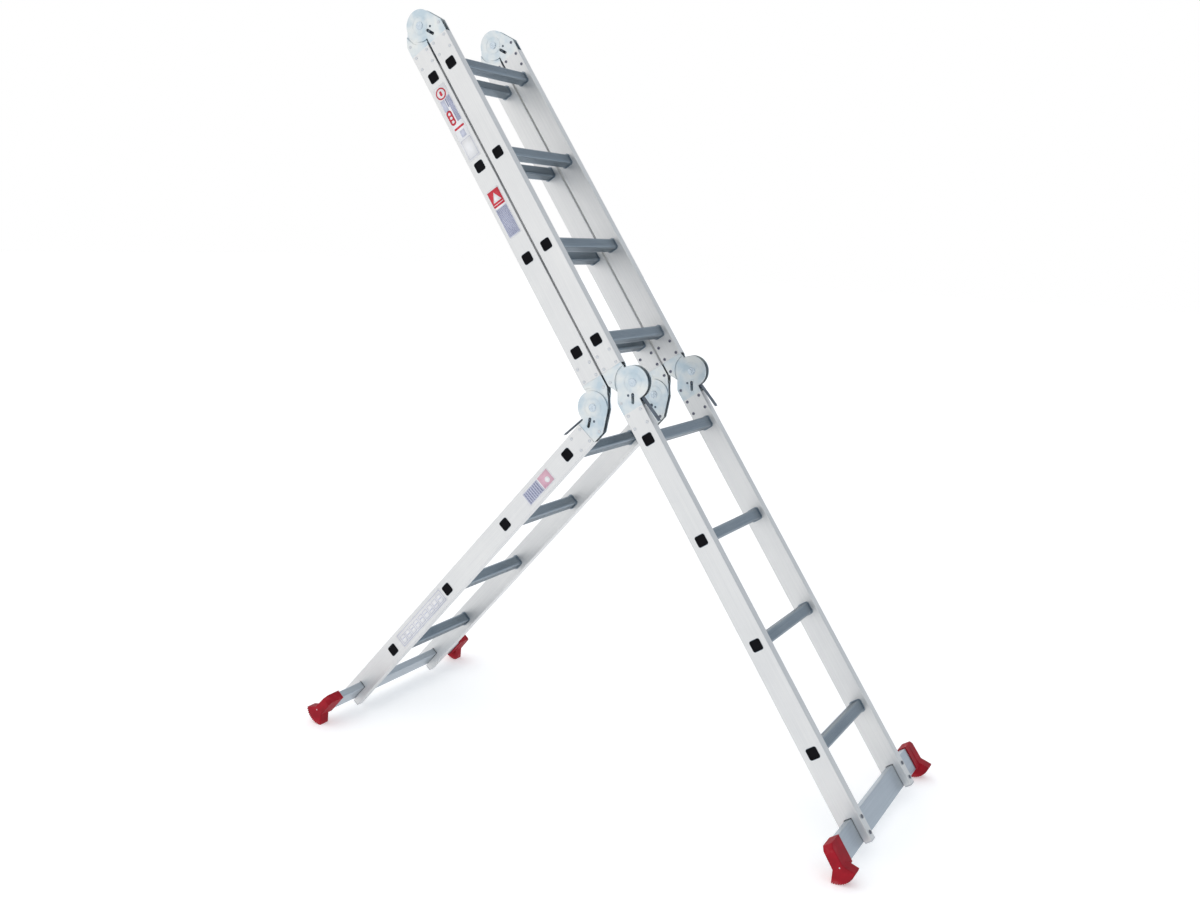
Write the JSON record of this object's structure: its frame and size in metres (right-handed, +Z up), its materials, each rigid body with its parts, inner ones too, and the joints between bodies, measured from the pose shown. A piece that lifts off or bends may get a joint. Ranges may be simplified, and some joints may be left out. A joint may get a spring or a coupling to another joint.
{
  "type": "multi position ladder",
  "caption": "Folding aluminium ladder of hinged sections with locking joints, stabiliser bars and toothed rubber feet, standing as a leaning front leg with a propped rear leg.",
  "frame": {"origin": "on the floor, under the middle of the overall box", "axes": "+Z up, +X towards the front section that is climbed, +Y across the ladder"},
  "size_m": [1.5962, 0.676, 1.9801],
  "materials": {
    "rail_aluminium": "satin anodised extrusion",
    "rung_aluminium": "grooved mill extrusion",
    "bar_aluminium": "satin extrusion",
    "hinge_steel": "bright zinc plating",
    "pin_steel": "zinc plated, domed heads",
    "lever_steel": "dark coated pressed steel",
    "rivet_steel": "satin rivet heads",
    "screw_steel": "dark plated",
    "plug_plastic": "moulded",
    "cap_plastic": "moulded",
    "foot_rubber": "moulded non-slip rubber"
  },
  "bodies": {
    "front_upper": {"front_hinge_inner_arm_left": "hinge_steel", "front_hinge_inner_arm_right": "hinge_steel", "front_upper_rail_left": "rail_aluminium", "front_upper_rail_right": "rail_aluminium", "front_upper_rivets": "rivet_steel", "front_upper_rung_1": "rung_aluminium", "front_upper_rung_2": "rung_aluminium", "front_upper_rung_3": "rung_aluminium", "front_upper_rung_4": "rung_aluminium", "front_upper_rung_plugs": "plug_plastic", "top_hinge_fork_left": "hinge_steel", "top_hinge_fork_right": "hinge_steel", "top_hinge_pivot_pins": "pin_steel"},
    "front_lower": {"front_bar_screws": "screw_steel", "front_foot_left": "foot_rubber", "front_foot_right": "foot_rubber", "front_hinge_fork_left": "hinge_steel", "front_hinge_fork_right": "hinge_steel", "front_hinge_pivot_pins": "pin_steel", "front_lower_rail_left": "rail_aluminium", "front_lower_rail_right": "rail_aluminium", "front_lower_rivets": "rivet_steel", "front_lower_rung_1": "rung_aluminium", "front_lower_rung_2": "rung_aluminium", "front_lower_rung_3": "rung_aluminium", "front_lower_rung_4": "rung_aluminium", "front_lower_rung_plugs": "plug_plastic", "front_rail_end_caps": "cap_plastic", "front_stabiliser_bar": "bar_aluminium"},
    "rear_upper": {"rear_hinge_inner_arm_left": "hinge_steel", "rear_hinge_inner_arm_right": "hinge_steel", "rear_upper_rail_left": "rail_aluminium", "rear_upper_rail_right": "rail_aluminium", "rear_upper_rivets": "rivet_steel", "rear_upper_rung_1": "rung_aluminium", "rear_upper_rung_2": "rung_aluminium", "rear_upper_rung_3": "rung_aluminium", "rear_upper_rung_4": "rung_aluminium", "rear_upper_rung_plugs": "plug_plastic", "top_hinge_inner_arm_left": "hinge_steel", "top_hinge_inner_arm_right": "hinge_steel"},
    "rear_lower": {"rear_bar_screws": "screw_steel", "rear_foot_left": "foot_rubber", "rear_foot_right": "foot_rubber", "rear_hinge_fork_left": "hinge_steel", "rear_hinge_fork_right": "hinge_steel", "rear_hinge_pivot_pins": "pin_steel", "rear_lower_rail_left": "rail_aluminium", "rear_lower_rail_right": "rail_aluminium", "rear_lower_rivets": "rivet_steel", "rear_lower_rung_1": "rung_aluminium", "rear_lower_rung_2": "rung_aluminium", "rear_lower_rung_3": "rung_aluminium", "rear_lower_rung_4": "rung_aluminium", "rear_lower_rung_plugs": "plug_plastic", "rear_rail_end_caps": "cap_plastic", "rear_stabiliser_bar": "bar_aluminium"},
    "levers_front": {"front_hinge_release_levers": "lever_steel"},
    "levers_top": {"top_hinge_release_levers": "lever_steel"},
    "levers_rear": {"rear_hinge_release_levers": "lever_steel"}
  },
  "joints": [
    {"name": "fold_front", "type": "hinge", "parent": "front_upper", "child": "front_lower", "pos_m": [0.10804, 0, 1.04731], "axis": [0, 1, 0], "range_deg": [-180, 0]},
    {"name": "fold_top", "type": "hinge", "parent": "front_upper", "child": "rear_upper", "pos_m": [-0.58205, 0, 1.93705], "axis": [0, 1, 0], "range_deg": [0, 180]},
    {"name": "fold_rear", "type": "hinge", "parent": "rear_upper", "child": "rear_lower", "pos_m": [-0.00254, 0, 0.97164], "axis": [0, -1, 0], "range_deg": [-101, 75]},
    {"name": "lever_turn_front", "type": "hinge", "parent": "front_lower", "child": "levers_front", "pos_m": [0.09777, 0, 1.01363], "axis": [0, -1, 0], "range_deg": [-8.01, 0.01]},
    {"name": "lever_turn_top", "type": "hinge", "parent": "front_upper", "child": "levers_top", "pos_m": [-0.54693, 0, 1.93443], "axis": [0, 1, 0], "range_deg": [-0.01, 8.01]},
    {"name": "lever_turn_rear", "type": "hinge", "parent": "rear_lower", "child": "levers_rear", "pos_m": [0.00401, 0, 0.93703], "axis": [0, 1, 0], "range_deg": [-6.8, 5.1]}
  ],
  "couplings": [
    {"joint": "lever_turn_front", "follows": "fold_front", "ratio": 0.044444},
    {"joint": "lever_turn_top", "follows": "fold_top", "ratio": 0.044444},
    {"joint": "lever_turn_rear", "follows": "fold_rear", "ratio": 0.06667}
  ]
}
